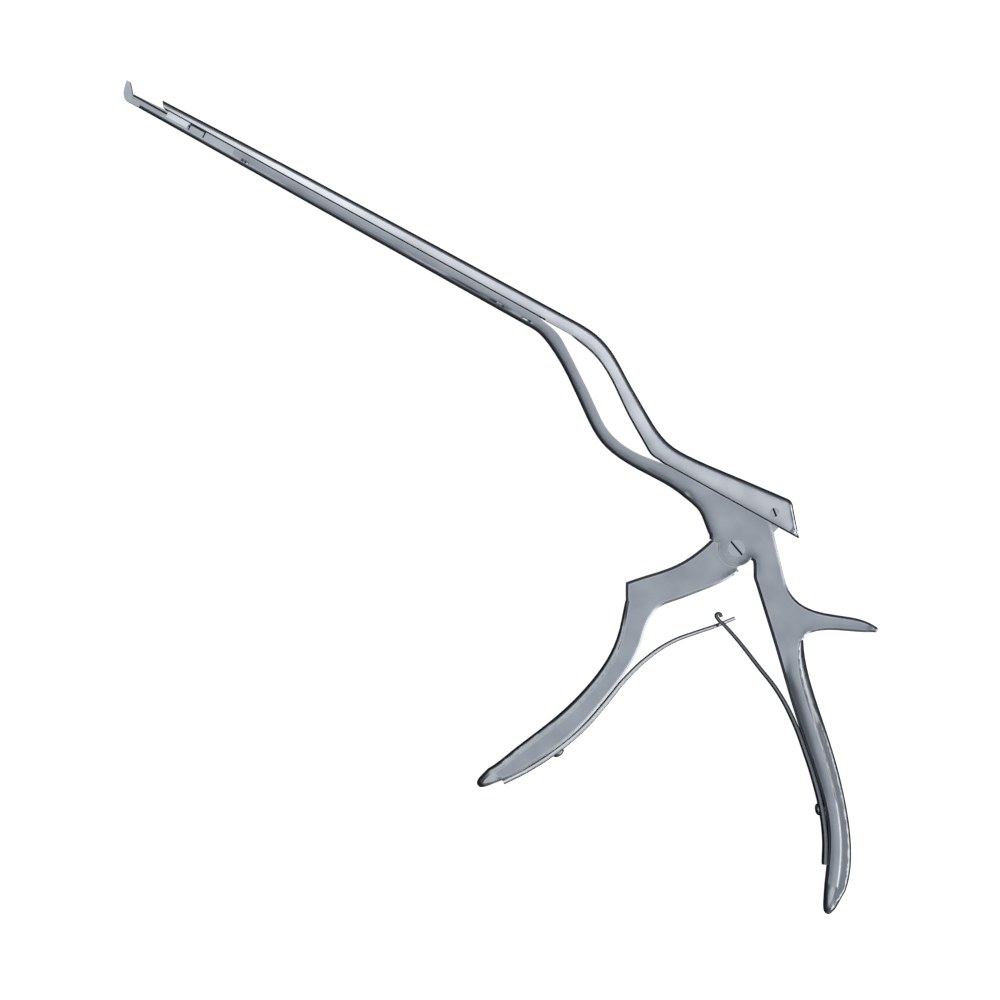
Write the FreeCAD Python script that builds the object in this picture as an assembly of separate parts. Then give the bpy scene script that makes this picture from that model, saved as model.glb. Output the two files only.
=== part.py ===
"""Bone rongeur with a bayonet shaft, lying on its side.

X runs along the shaft from the biting end to the handles, Y points to the sliding bar's side
and Z is the thickness, up from the side that rests. The origin is on the axis of the pivot
screw, in the resting plane. The jaw is drawn open, and every length is in millimetres.
"""
import FreeCAD, Part
import math
import os

Vec = FreeCAD.Vector
Z_AXIS = Vec(0, 0, 1)

# Whole instrument
THICK = 8.4                     # body, handles and the slide's rear block
MID = THICK / 2
TIP_WIDTH = 5.2                 # shaft across Z at the jaw
BEND_WIDTH = 6.0                # shaft across Z behind the bayonet
FLARE_START, FLARE_END = -45.0, -20.0
EDGE_BEVEL = 0.7                # hand-ground bevel round the body and handles
SHAFT_ROUND = 1.2               # rounded lower edges of the base bar
JOINT_BEVEL = 0.5               # bevel along the slide's lower edges
SLIDE_ROUND = 1.3               # rounded upper edges of the slide
SEAT_GAP = 0.05                 # running gap under the slide

# Shaft
BAR_TOP = 33.0                  # sliding face of the base bar
BODY_TOP = 12.0                 # sliding face of the body
BAR_BOTTOM_TIP = 29.65
BAR_BOTTOM_BEND = 28.9
BEND_START = -88.5
TIP = -235.4                    # outer end of the footplate
TIP_TOP = 35.3                  # height of the footplate and the slide's nose
SLIDE_TIP = -222.7
SLIDE_TOP_BEND = 37.35

# Front guide of the slide: a grooved rail on the base bar, gripped by the slide's two skirts
RAIL_FRONT, RAIL_REAR = -231.7, -206.0
RAIL_FLOOR = 31.1               # foot of the recess on each side of the rail
RAIL_WIDE, NECK_WIDE = 3.6, 2.1
RAIL_TOP_FRONT = 32.5           # the rail's top falls to this at the footplate
GROOVE_LOW, GROOVE_HIGH = 31.85, 32.45
GROOVE_REAR = -211.4
RAIL_FIT = 0.08                 # running gap round the rail
SKIRT_FRONT, SKIRT_REAR = -219.3, -211.6
SKIRT_BOTTOM = 31.2

# Bite cavity in the slide's nose and dish in the footplate
CAVITY_RADIUS = 1.65
CAVITY_Y = 33.4
CAVITY_END = -218.0
DISH_RADIUS = 4.0
DISH_DEPTH = 0.35

# Pivot, lever and link
CHEEK_RADIUS = 5.6              # round end of each cheek
SHOULDER_RADIUS = 5.7           # the front handle's shoulder runs round the cheek
TONGUE = 3.0                    # lever between the cheeks
SLOT = 3.2                      # gap between the cheeks
HUB_RADIUS = 5.2
SLOT_RADIUS = 5.9
LINK_X = 5.0
LINK_Y = 15.4
LEVER_END_U = 14.9              # centre of the lever's round end, along its length
LEVER_END_RADIUS = 4.3
LEVER_SWING = 39.9              # degrees from open to shut
PIVOT_FIT = 0.05
PIVOT_HEAD, PIVOT_HEAD_DEEP, PIVOT_SHANK = 2.75, 1.5, 1.75
LINK_HEAD, LINK_HEAD_DEEP, LINK_SHANK = 1.4, 1.0, 1.1
LINK_SIDE_GAP = 0.2             # side gap in the lever's slot
LINK_END_GAP = 0.3
SCREW_RECESS = 0.3              # plain ends lie below the resting side
DRIVER_WIDE, DRIVER_DEEP = 0.6, 0.6

# Handles
RIDGE_WIDE, RIDGE_DEEP = 0.8, 0.5    # bright facet between a handle's side and its round back

# Leaf springs
FOOT_THICK, BLADE_THICK = 1.8, 1.2
FOOT_WIDE, BLADE_WIDE = 7.0, 5.2
TONGUE_WIDE = 2.6
WINDOW_WIDE, WINDOW_LONG = 3.6, 2.8
CURL_OUTER, CURL_INNER = 1.2, 0.5
HEAD_SUNK = 0.15                # how deep a spring screw's head sits in its leaf
SPRING_HEAD, SPRING_HEAD_HIGH, SPRING_SHANK, SPRING_SHANK_LONG = 1.9, 1.3, 0.9, 4.0


def point(x, y, z=0.0):
    return Vec(x, y, z)


def polar(radius, degrees):
    """A point at this radius and angle about the pivot."""
    return (radius * math.cos(math.radians(degrees)), radius * math.sin(math.radians(degrees)))


def run(points, start=None, end=None):
    """One edge through the points: a line through two, or a smooth curve with these end directions."""
    vectors = [point(*p) for p in points]
    if len(vectors) == 2:
        return Part.LineSegment(*vectors).toShape()
    curve = Part.BSplineCurve()
    if start and end:
        curve.interpolate(Points=vectors, InitialTangent=point(*start), FinalTangent=point(*end))
    else:
        curve.interpolate(vectors)
    return curve.toShape()


def arc(start, middle, end):
    return Part.Arc(point(*start), point(*middle), point(*end)).toShape()


def plate(edges, low=0.0, high=THICK):
    """A flat plate from a closed outline, from one height to another."""
    face = Part.Face(Part.Wire(Part.__sortEdges__(edges)))
    solid = face.extrude(Vec(0, 0, high - low))
    solid.translate(Vec(0, 0, low))
    return solid


def disc(radius, low, high, centre=(0.0, 0.0)):
    return Part.makeCylinder(radius, high - low, point(*centre, low), Z_AXIS)


def block(x0, x1, y0, y1, z0, z1):
    return Part.makeBox(x1 - x0, y1 - y0, z1 - z0, Vec(x0, y0, z0))


def centred_block(x0, x1, y0, y1, width):
    """A block of this width across Z, on the middle plane."""
    return block(x0, x1, y0, y1, MID - width / 2, MID + width / 2)


def between_sides(solid):
    """The solid trimmed to the instrument's two flat sides."""
    return solid.removeSplitter().common(block(-300, 300, -300, 300, 0, THICK))


def side_edges(solid, wanted):
    """The edges along the two sides of a plate whose midpoint is wanted."""
    found = []
    for edge in solid.Edges:
        middle = edge.valueAt((edge.FirstParameter + edge.LastParameter) / 2)
        ends = [v.Point.z - MID for v in edge.Vertexes]
        along = all(z * ends[0] > 0 for z in ends) and abs(middle.z - MID) > 2
        if along and wanted(middle.x, middle.y):
            found.append(edge)
    return found


def shaft_plan():
    """The instrument seen from the slide's side: a slim shaft that flares into the body."""
    tip, bend, reach = TIP_WIDTH / 2, BEND_WIDTH / 2, 200.0
    flare = [(FLARE_START, bend), (-37.0, bend + 0.2), (-29.0, bend + 0.8), (FLARE_END, MID)]
    edges = []
    for side in (-1, 1):
        curve = [Vec(x, -reach, MID + side * half) for x, half in flare]
        start = Vec(TIP - 1.0, -reach, MID + side * tip)
        edges.append(Part.LineSegment(start, curve[0]).toShape())
        spline = Part.BSplineCurve()
        spline.interpolate(Points=curve, InitialTangent=curve[0] - start, FinalTangent=Vec(1, 0, 0))
        edges.append(spline.toShape())
        edges.append(Part.LineSegment(curve[-1], Vec(reach, -reach, MID + side * MID)).toShape())
    for end, half in ((TIP - 1.0, tip), (reach, MID)):
        edges.append(Part.LineSegment(Vec(end, -reach, MID - half), Vec(end, -reach, MID + half)).toShape())
    face = Part.Face(Part.Wire(Part.__sortEdges__(edges)))
    return face.extrude(Vec(0, 2 * reach, 0))


def handle_section(front, back, ridge, bevel=EDGE_BEVEL, inset=0.0):
    """A cross-section: flat sides, a bevelled front edge and a round back behind a ridge."""
    along = point(*back) - point(*front)
    width = along.Length
    along.normalize()
    low, high = inset, THICK - inset

    def at(u, z):
        return point(*front) + along * u + Z_AXIS * z

    crown = ridge - RIDGE_WIDE
    corners = [at(0, low + bevel), at(0, high - bevel), at(bevel, high), at(width - ridge, high),
               at(width - crown, high - RIDGE_DEEP)]
    lower = [at(width - crown, low + RIDGE_DEEP), at(width - ridge, low), at(bevel, low), corners[0]]
    edges = [Part.LineSegment(a, b).toShape() for a, b in zip(corners, corners[1:])]
    edges.append(Part.Arc(corners[-1], at(width, MID), lower[0]).toShape())
    edges += [Part.LineSegment(a, b).toShape() for a, b in zip(lower, lower[1:])]
    return Part.Wire(edges)


def handle(stations):
    """A handle through its stations; the last two close its rounded end."""
    sections = [handle_section(*station) for station in stations]
    grip = Part.makeLoft(sections[:-2], True)
    return grip.fuse(Part.makeLoft(sections[-3:], True, True))


# Rear handle below the spur: front point, back point, ridge distance, front bevel, end inset
REAR_STATIONS = [
    ((25.7, -20.9), (32.0, -14.6), 1.7),
    ((33.0, -28.2), (38.3, -22.9), 2.9),
    ((45.0, -39.8), (50.3, -34.4), 3.1),
    ((59.7, -53.3), (64.8, -48.8), 3.2),
    ((67.5, -62.8), (73.0, -58.9), 3.4),
    ((72.2, -71.9), (79.0, -69.0), 3.8),
    ((74.8, -78.1), (81.3, -76.5), 3.2),
    ((77.3, -83.6), (81.3, -83.0), 1.8, 0.7, 0.3),
    ((78.6, -85.6), (80.4, -85.5), 1.0, 0.4, 1.6),
]
# Front handle below the finger hook: inner point, outer point and the same distances
FRONT_STATIONS = [
    ((-12.6, -30.9), (-22.2, -30.3), 1.3),
    ((-11.5, -40.0), (-19.3, -40.0), 1.6),
    ((-11.3, -50.5), (-18.3, -50.0), 1.8),
    ((-12.9, -61.0), (-19.7, -60.0), 1.9),
    ((-15.2, -71.5), (-22.5, -70.0), 2.0),
    ((-18.9, -81.5), (-26.3, -79.5), 2.0),
    ((-23.6, -90.5), (-30.5, -89.2), 2.0),
    ((-28.6, -98.0), (-34.1, -97.0), 1.8),
    ((-31.8, -102.0), (-35.3, -101.2), 1.3, 0.5, 0.3),
    ((-33.4, -103.4), (-35.0, -103.0), 0.95, 0.4, 1.6),
]


def footplate():
    """The plate that the slide bites against: it leans away from the slide and thins to its top."""
    heel, root, foot, bite = (-233.0, 29.75), (-228.0, BAR_BOTTOM_TIP), (-231.0, 31.5), (-234.2, TIP_TOP)
    edges = [run([(TIP, TIP_TOP), (-235.0, 33.2), (-234.2, 31.1), heel]),
             run([heel, (-232.4, BAR_BOTTOM_TIP)]),
             run([(-232.4, BAR_BOTTOM_TIP), root]),
             run([root, (-228.0, RAIL_FLOOR)]),
             run([(-228.0, RAIL_FLOOR), (-230.8, RAIL_FLOOR)]),
             run([(-230.8, RAIL_FLOOR), foot]),
             run([foot, bite]),
             run([bite, (TIP, TIP_TOP)])]
    solid = plate(edges)
    dish_centre = Vec(-233.1, 34.0, MID) + Vec(0.77, 0.64, 0) * (DISH_RADIUS - DISH_DEPTH)
    return solid.cut(Part.makeSphere(DISH_RADIUS, dish_centre))


def base_outline():
    """The forging from the tip to the rear handle, seen from the side."""
    slope = (BAR_BOTTOM_TIP - BAR_BOTTOM_BEND) / (-231.4 - BEND_START)
    bend_bottom = BAR_BOTTOM_TIP + slope * (BEND_START + 231.4)
    cheek_front = (-5.41, -1.45)
    cheek_rear = polar(CHEEK_RADIUS, -8.9)
    return [
        run([(-231.4, BAR_BOTTOM_TIP), (BEND_START, bend_bottom)]),
        run([(BEND_START, bend_bottom), (-82.0, 27.3), (-75.0, 23.6), (-60.0, 12.9), (-52.0, 8.3),
             (-44.0, 6.7), (-35.0, 6.6), (-25.0, 6.5), (-20.0, 5.7), (-15.0, 4.2), (-9.6, -0.1),
             (-8.5, -1.45)], (1.0, 0.0), (0.5, -1.0)),
        run([(-8.5, -1.45), cheek_front]),
        arc(cheek_front, (0.0, -CHEEK_RADIUS), cheek_rear),
        run([cheek_rear, (6.7, -0.95)]),
        run([(6.7, -0.95), (7.5, -2.0), (8.6, -4.0), (10.7, -6.5)]),
        run([(10.7, -6.5), REAR_STATIONS[0][0]]),
        run([REAR_STATIONS[0][0], REAR_STATIONS[0][1]]),
        run([REAR_STATIONS[0][1], (32.3, -12.8), (34.2, -10.5), (38.5, -7.7), (45.0, -4.7),
             (49.8, -2.2)]),
        arc((49.8, -2.2), (50.7, -1.1), (49.6, -0.3)),
        run([(49.6, -0.3), (46.5, -0.3), (40.0, -2.1), (31.0, -5.1), (25.5, -5.4), (20.8, -3.7),
             (15.8, 1.1), (10.7, 6.7), (5.6, BODY_TOP)]),
        run([(5.6, BODY_TOP), (-31.0, BODY_TOP)]),
        run([(-31.0, BODY_TOP), (-35.0, 11.55), (-40.0, 10.9), (-46.0, 11.0), (-52.0, 12.5), (-60.0, 17.7),
             (-75.0, 28.1), (-81.0, 31.5), (BEND_START, BAR_TOP)], (-1.0, -0.1), (-1.0, 0.25)),
        run([(BEND_START, BAR_TOP), (-221.0, BAR_TOP)]),
        run([(-221.0, BAR_TOP), (-231.4, RAIL_TOP_FRONT)]),
        run([(-231.4, RAIL_TOP_FRONT), (-231.4, BAR_BOTTOM_TIP)]),
    ]


def rail_recesses():
    """What is milled off both sides of the base bar to leave its grooved rail."""
    above = BAR_TOP + 1.0
    corners = [(RAIL_FRONT, RAIL_FLOOR), (RAIL_REAR, RAIL_FLOOR), (RAIL_REAR - 0.3, BAR_TOP - 0.8),
               (RAIL_REAR - 1.3, BAR_TOP), (RAIL_REAR - 1.3, above), (RAIL_FRONT, above)]
    side = plate([run([a, b]) for a, b in zip(corners, corners[1:] + corners[:1])], 0, MID - RAIL_WIDE / 2)
    near = side.fuse(block(RAIL_FRONT, GROOVE_REAR, GROOVE_LOW, GROOVE_HIGH, 0, MID - NECK_WIDE / 2))
    return near.fuse(near.mirror(Vec(0, 0, MID), Z_AXIS))


def lever_slot():
    """The space between the cheeks that the lever swings through."""
    shut = 90.0 + LEVER_SWING - math.degrees(math.atan2(LINK_X, LINK_Y))
    rest = 90.0 - math.degrees(math.atan2(LINK_X, LINK_Y))
    top = LINK_Y / math.cos(math.radians(shut - 90.0))
    wide = LEVER_END_RADIUS + 0.3

    def edge_point(direction, side):
        x, y = polar(top, direction)
        dx, dy = polar(wide, direction + side)
        return (x + dx, y + dy)

    front_low, rear_low = polar(SLOT_RADIUS, shut + 90.0), polar(SLOT_RADIUS, rest - 90.0)
    corners = [front_low, edge_point(shut, 90.0), edge_point(rest, -90.0), rear_low, (5.6, -8.0),
               (-5.6, -8.0)]
    edges = [run([a, b]) for a, b in zip(corners, corners[1:] + corners[:1])]
    return plate(edges, MID - SLOT / 2, MID + SLOT / 2)


def frame(rear_spring, rear_seat):
    """Footplate, base bar, body with its two cheeks, and the rear handle: one forging."""
    blank = plate(base_outline()).common(shaft_plan())
    lower = side_edges(blank, lambda x, y: x < -9.0 and y < 30.1 and below_shaft(x, y))
    blank = blank.makeFillet(SHAFT_ROUND, lower)
    rear = side_edges(blank, lambda x, y: x > 5.5 and y < 11.5)
    blank = blank.makeChamfer(EDGE_BEVEL, [e for e in rear if not on_station(e)])
    solid = blank.fuse([footplate().common(shaft_plan()), handle(REAR_STATIONS)])
    solid = solid.cut(rail_recesses().cut(footplate()))
    solid = solid.cut(lever_slot())
    solid = solid.cut(pivot_bore())
    solid = solid.cut([rear_spring, screw_bore(rear_seat)])
    return between_sides(solid)


def below_shaft(x, y):
    """Whether a point lies on the lower outline of the shaft and body."""
    return y < 6.5 if x > -50 else y < 33 - max(0.0, x + 88.0) * 0.66 - 2.0


def on_station(edge):
    """Whether an edge lies on the plane where the lower handle starts."""
    front, back = (point(*p) for p in REAR_STATIONS[0][:2])
    line = (back - front).normalize()
    away = [abs((Vec(v.Point.x, v.Point.y, 0) - front).cross(line).z) for v in edge.Vertexes]
    return max(away) < 0.01


def pivot_bore():
    head = disc(PIVOT_HEAD, THICK - PIVOT_HEAD_DEEP, THICK)
    return head.fuse(disc(PIVOT_SHANK, 0.0, THICK))


def slide_outline():
    """The sliding bar from its cutting nose to its rear block, seen from the side."""
    low = BAR_TOP + SEAT_GAP
    block_low = BODY_TOP + SEAT_GAP
    return [
        run([(SLIDE_TIP, TIP_TOP - 0.15), (-221.3, 33.3)]),
        run([(-221.3, 33.3), (-220.6, low)]),
        run([(-220.6, low), (-77.0, low)]),
        run([(-77.0, low), (-74.0, 32.4), (-70.0, 31.75), (-60.0, 27.5), (-50.0, 20.4), (-40.0, 14.2),
             (-36.3, 12.4), (-33.0, block_low)], (1.0, -0.25), (1.0, -0.3)),
        run([(-33.0, block_low), (15.6, block_low)]),
        run([(15.6, block_low), (12.6, 15.6), (10.5, 18.1), (9.3, 19.6)], (-0.6, 0.7), (-0.6, 0.82)),
        run([(9.3, 19.6), (8.2, 20.7), (6.6, 21.1)], (-0.6, 0.82), (-1.0, -0.11)),
        run([(6.6, 21.1), (-10.0, 19.4), (-27.0, 17.8), (-33.0, 18.05), (-38.0, 19.6), (-45.0, 23.4),
             (-55.0, 29.5), (-62.0, 33.9), (-68.0, 36.4), (-77.0, SLIDE_TOP_BEND)],
            (-1.0, -0.11), (-1.0, -0.008)),
        run([(-77.0, SLIDE_TOP_BEND), (-150.0, 36.65), (SLIDE_TIP, TIP_TOP - 0.15)], (-1.0, -0.008),
            (-1.0, -0.03)),
    ]


def skirts():
    """The slide's two skirts, each with an inner lip that runs in the rail's groove."""
    low, high = SKIRT_BOTTOM, BAR_TOP + 0.5
    corners = [(SKIRT_FRONT, low), (SKIRT_REAR - 0.5, low), (SKIRT_REAR, high), (SKIRT_FRONT, high)]
    edges = [run([a, b]) for a, b in zip(corners, corners[1:] + corners[:1])]
    solid = plate(edges, MID - TIP_WIDTH / 2, MID + TIP_WIDTH / 2)
    front, rear = SKIRT_FRONT - 1, SKIRT_REAR + 1
    rail = centred_block(front, rear, low - 1, BAR_TOP + SEAT_GAP, RAIL_WIDE + 2 * RAIL_FIT)
    lips = centred_block(SKIRT_FRONT, SKIRT_REAR - 0.5, GROOVE_LOW + RAIL_FIT, GROOVE_HIGH - RAIL_FIT, TIP_WIDTH)
    lips = lips.cut(centred_block(front, rear, low, high, NECK_WIDE + 2 * RAIL_FIT))
    return solid.cut(rail).fuse(lips)


def bite_cavity():
    """The hollow that leaves a U-shaped cutting edge and takes the bone."""
    start = SLIDE_TIP - 1.0
    bore = Part.makeCylinder(CAVITY_RADIUS, CAVITY_END - start, Vec(start, CAVITY_Y, MID), Vec(1, 0, 0))
    return bore.fuse(Part.makeSphere(CAVITY_RADIUS, Vec(CAVITY_END, CAVITY_Y, MID)))


def link_pocket():
    """The slot in the slide's rear block that holds the lever's end."""
    radius, centre_y = 5.1, 14.45
    left, right = LINK_X - 4.95, LINK_X + 5.25
    low = BODY_TOP - 1.0
    edges = [arc((left, centre_y), ((left + right) / 2, centre_y + radius), (right, centre_y)),
             run([(right, centre_y), (11.9, low)]),
             run([(11.9, low), (-1.6, low)]),
             run([(-1.6, low), (left, centre_y)])]
    return plate(edges, MID - SLOT / 2, MID + SLOT / 2)


def slide():
    """The sliding bar: cutting nose, front guide, bayonet and rear block."""
    blank = plate(slide_outline()).common(shaft_plan())
    upper = side_edges(blank, lambda x, y: above_shaft(x, y) and x > -221.0)
    blank = blank.makeFillet(SLIDE_ROUND, upper)
    lower = side_edges(blank, lambda x, y: -78.0 < x < -34.0 and not above_shaft(x, y))
    blank = blank.makeChamfer(JOINT_BEVEL, lower)
    link = (LINK_X, LINK_Y)
    solid = blank.fuse(skirts()).cut(bite_cavity())
    solid = solid.cut([link_pocket(), disc(LINK_HEAD, THICK - LINK_HEAD_DEEP, THICK, link),
                       disc(LINK_SHANK, 0.0, THICK, link)])
    return solid.removeSplitter()


def above_shaft(x, y):
    """Whether a point lies on the upper outline of the slide."""
    return y > 12.5 if x > -36.0 else y > 34.9 - max(0.0, x + 74.0) * 0.46


def front_outline():
    """The front handle's upper part: the shoulder, the web and the finger hook."""
    inner, outer = FRONT_STATIONS[0][0], FRONT_STATIONS[0][1]
    return [
        run([(-7.9, -1.57), (-9.8, -6.8), (-13.4, -13.4), (-18.4, -19.2), (-24.6, -25.9)]),
        run([(-24.6, -25.9), (-23.5, -28.0), outer]),
        run([outer, inner]),
        run([inner, (-12.0, -27.8), (-8.7, -23.5), (-3.8, -17.8), (0.2, -12.9), (3.4, -7.9)]),
        run([(3.4, -7.9), (4.0, -6.6), (3.65, -4.38)]),
        run([(3.65, -4.38), (0.0, 0.0)]),
        run([(0.0, 0.0), (-5.5, -1.57)]),
        run([(-5.5, -1.57), (-7.9, -1.57)]),
    ]


def lever():
    """The tongue between the cheeks, the hub round the pivot and the arm up to the link."""
    rest = 90.0 - math.degrees(math.atan2(LINK_X, LINK_Y))
    low, high = MID - TONGUE / 2, MID + TONGUE / 2
    end_x, end_y = polar(LEVER_END_U, rest)

    def side(radius, turn, centre=(0.0, 0.0)):
        dx, dy = polar(radius, rest + turn)
        return (centre[0] + dx, centre[1] + dy)

    end = (end_x, end_y)
    web = [side(HUB_RADIUS, 90), side(LEVER_END_RADIUS, 90, end), side(LEVER_END_RADIUS, -90, end),
           side(HUB_RADIUS, -90)]
    arm = plate([run([a, b]) for a, b in zip(web, web[1:] + web[:1])], low, high)
    arm = arm.fuse([disc(HUB_RADIUS, low, high), disc(LEVER_END_RADIUS, low, high, end),
                    plate(front_outline(), low, high).common(disc(8.0, low, high))])
    return arm.cut(disc(PIVOT_SHANK + PIVOT_FIT, low, high)).cut(link_slot(rest, low, high))


def link_slot(rest, low, high):
    """The radial slot in the lever's end: the link screw slides along it as the lever swings."""
    half = LINK_SHANK + LINK_SIDE_GAP
    reach = LINK_Y / math.cos(math.radians(LEVER_SWING - math.degrees(math.atan2(LINK_X, LINK_Y))))
    near, far = LINK_Y - LINK_END_GAP + LINK_SIDE_GAP, reach + LINK_END_GAP - LINK_SIDE_GAP
    slot = Part.makeBox(far - near, 2 * half, high - low, Vec(near, -half, low))
    slot = slot.fuse([disc(half, low, high, (near, 0.0)), disc(half, low, high, (far, 0.0))])
    slot.rotate(Vec(0, 0, 0), Z_AXIS, rest)
    return slot


def front_handle(front_spring, front_seat):
    """The moving handle with its lever."""
    blank = plate(front_outline())
    edges = side_edges(blank, lambda x, y: math.hypot(x, y) > 6.9 and y > -30.0)
    blank = blank.makeChamfer(EDGE_BEVEL, edges)
    solid = blank.fuse(handle(FRONT_STATIONS)).cut(disc(SHOULDER_RADIUS, 0.0, THICK))
    solid = solid.fuse(lever())
    solid = solid.cut([front_spring, screw_bore(front_seat)])
    return between_sides(solid)


def blade(centre, thick):
    """A leaf seen from the side: a smooth centre line with its own thickness at each point."""
    line = Part.BSplineCurve()
    line.interpolate([point(*p) for p in centre])
    upper, lower = [], []
    for p, t in zip(centre, thick):
        at = line.parameter(point(*p))
        normal = line.tangent(at)[0].cross(Z_AXIS)
        upper.append(tuple(point(*p) + normal * t / 2)[:2])
        lower.append(tuple(point(*p) - normal * t / 2)[:2])
    return [run(upper), run([upper[-1], lower[-1]]), run(lower), run([upper[0], lower[0]])]


def leaf_plan(axis, widths):
    """A leaf's outline seen square to its face: its full width at each place along X or Y."""
    corners = [(at, MID + wide / 2) for at, wide in widths]
    corners += [(at, MID - wide / 2) for at, wide in reversed(widths)]
    points = [Vec(at, -150, z) if axis == "x" else Vec(-150, at, z) for at, z in corners]
    face = Part.Face(Part.makePolygon(points + points[:1]))
    return face.extrude(Vec(0, 300, 0) if axis == "x" else Vec(300, 0, 0))


REAR_LEAF = [(71.6, -72.4), (67.6, -65.0), (62.4, -57.9), (56.5, -51.5), (49.8, -45.2), (41.8, -38.4),
             (33.0, -32.7), (24.0, -28.8), (14.0, -24.6), (8.5, -22.7), (5.5, -21.8)]
FRONT_LEAF = [(-28.0, -98.4), (-22.95, -90.9), (-18.2, -81.8), (-14.4, -72.0), (-12.1, -62.0),
              (-10.4, -52.5), (-7.0, -42.0), (-3.0, -34.7), (2.0, -28.8), (6.3, -24.1), (10.3, -19.1)]


def screw_seat(leaf, thick, outward):
    """Where a spring's screw sits: the third point of the leaf, and the direction of its head."""
    line = Part.BSplineCurve()
    line.interpolate([point(*p) for p in leaf])
    at = line.parameter(point(*leaf[2]))
    normal = line.tangent(at)[0].cross(Z_AXIS) * outward
    return point(*leaf[2], MID) + normal * (thick / 2 - HEAD_SUNK), normal


def spring_screw(seat):
    """A round-headed screw that holds a leaf to its handle."""
    centre, outward = seat
    head = Part.makeCylinder(SPRING_HEAD, SPRING_HEAD_HIGH, centre, outward)
    rim = [e for e in head.Edges if e.Closed and abs((e.CenterOfMass - centre).dot(outward)) > 0.5]
    head = head.makeFillet(0.6, rim)
    slot = Part.makeBox(4 * SPRING_HEAD, DRIVER_WIDE, 2 * DRIVER_DEEP, Vec(-2 * SPRING_HEAD,
                        -DRIVER_WIDE / 2, SPRING_HEAD_HIGH - DRIVER_DEEP * 0.7))
    slot.Placement = FreeCAD.Placement(centre, FreeCAD.Rotation(Z_AXIS, outward))
    shank = Part.makeCylinder(SPRING_SHANK, SPRING_SHANK_LONG, centre, outward * -1)
    return head.fuse(shank).cut(slot).removeSplitter()


def screw_bore(seat):
    """The shank's bore, with the shallow seat for the head."""
    centre, outward = seat
    shank = Part.makeCylinder(SPRING_SHANK, SPRING_SHANK_LONG, centre, outward * -1)
    return shank.fuse(Part.makeCylinder(SPRING_HEAD, SPRING_HEAD_HIGH, centre, outward))


def leaf_thickness(leaf):
    """Full thickness along the foot, thinner from where the leaf leaves its handle."""
    last = len(leaf) - 1
    return [FOOT_THICK if i < 4 else FOOT_THICK + (BLADE_THICK - FOOT_THICK) * (i - 3) / (last - 3)
            for i in range(len(leaf))]


def rear_leaf_spring(seat):
    """The leaf on the rear handle: its curled end has a window for the other leaf's tongue."""
    solid = plate(blade(REAR_LEAF, leaf_thickness(REAR_LEAF)))
    solid = solid.common(leaf_plan("x", [(0.0, BLADE_WIDE), (74.0, FOOT_WIDE)]))
    curl = disc(CURL_OUTER, MID - BLADE_WIDE / 2, MID + BLADE_WIDE / 2, (5.5, -21.25 + 0.05))
    keep = block(3.0, 5.5, -24.0, -19.0, 0, THICK)
    curl = curl.common(keep)
    solid = solid.fuse(curl).cut(disc(CURL_INNER, 0.0, THICK, (5.5, -21.1)))
    window = centred_block(7.9 - WINDOW_LONG / 2, 7.9 + WINDOW_LONG / 2, -24.5, -20.5, WINDOW_WIDE)
    return solid.cut([window, screw_bore(seat)]).removeSplitter()


def front_leaf_spring(seat):
    """The leaf on the front handle: it narrows to a tongue that passes through the other leaf."""
    solid = plate(blade(FRONT_LEAF, leaf_thickness(FRONT_LEAF)))
    solid = solid.common(leaf_plan("y", [(-100.0, FOOT_WIDE), (-25.6, BLADE_WIDE), (-24.6, TONGUE_WIDE),
                                         (-15.0, TONGUE_WIDE)]))
    return solid.cut(screw_bore(seat)).removeSplitter()


def slotted_screw(centre, head, head_deep, shank, slot_turn):
    """A flush slotted screw whose plain end lies below the resting side."""
    solid = disc(head, THICK - head_deep, THICK, centre).fuse(disc(shank, SCREW_RECESS, THICK, centre))
    slot = Part.makeBox(4 * head, DRIVER_WIDE, 2 * DRIVER_DEEP, Vec(-2 * head, -DRIVER_WIDE / 2, 0))
    slot.rotate(Vec(0, 0, 0), Z_AXIS, slot_turn)
    slot.translate(point(*centre, THICK - DRIVER_DEEP))
    return solid.cut(slot).removeSplitter()


def build():
    rear_seat = screw_seat(REAR_LEAF, FOOT_THICK, -1)
    front_seat = screw_seat(FRONT_LEAF, FOOT_THICK, 1)
    rear_spring = rear_leaf_spring(rear_seat)
    front_spring = front_leaf_spring(front_seat)
    return {
        "frame": frame(rear_spring, rear_seat),
        "slide": slide(),
        "front_handle": front_handle(front_spring, front_seat),
        "rear_leaf_spring": rear_spring,
        "front_leaf_spring": front_spring,
        "pivot_screw": slotted_screw((0.0, 0.0), PIVOT_HEAD, PIVOT_HEAD_DEEP, PIVOT_SHANK, -21.0),
        "link_screw": slotted_screw((LINK_X, LINK_Y), LINK_HEAD, LINK_HEAD_DEEP, LINK_SHANK, -39.0),
        "rear_spring_screw": spring_screw(rear_seat),
        "front_spring_screw": spring_screw(front_seat),
    }


os.makedirs("parts", exist_ok=True)
for name, shape in build().items():
    solid = shape.Solids[0]
    print(name, len(shape.Solids), solid.isValid(), round(solid.Volume, 2), solid.BoundBox)
    solid.exportStep(f"parts/{name}.step")
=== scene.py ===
import math

import bmesh
import bpy
import numpy
from bpy.props import FloatProperty, FloatVectorProperty, PointerProperty
from mathutils import Matrix, Vector, kdtree
from mathutils.bvhtree import BVHTree
from mathutils.geometry import delaunay_2d_cdt


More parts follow.
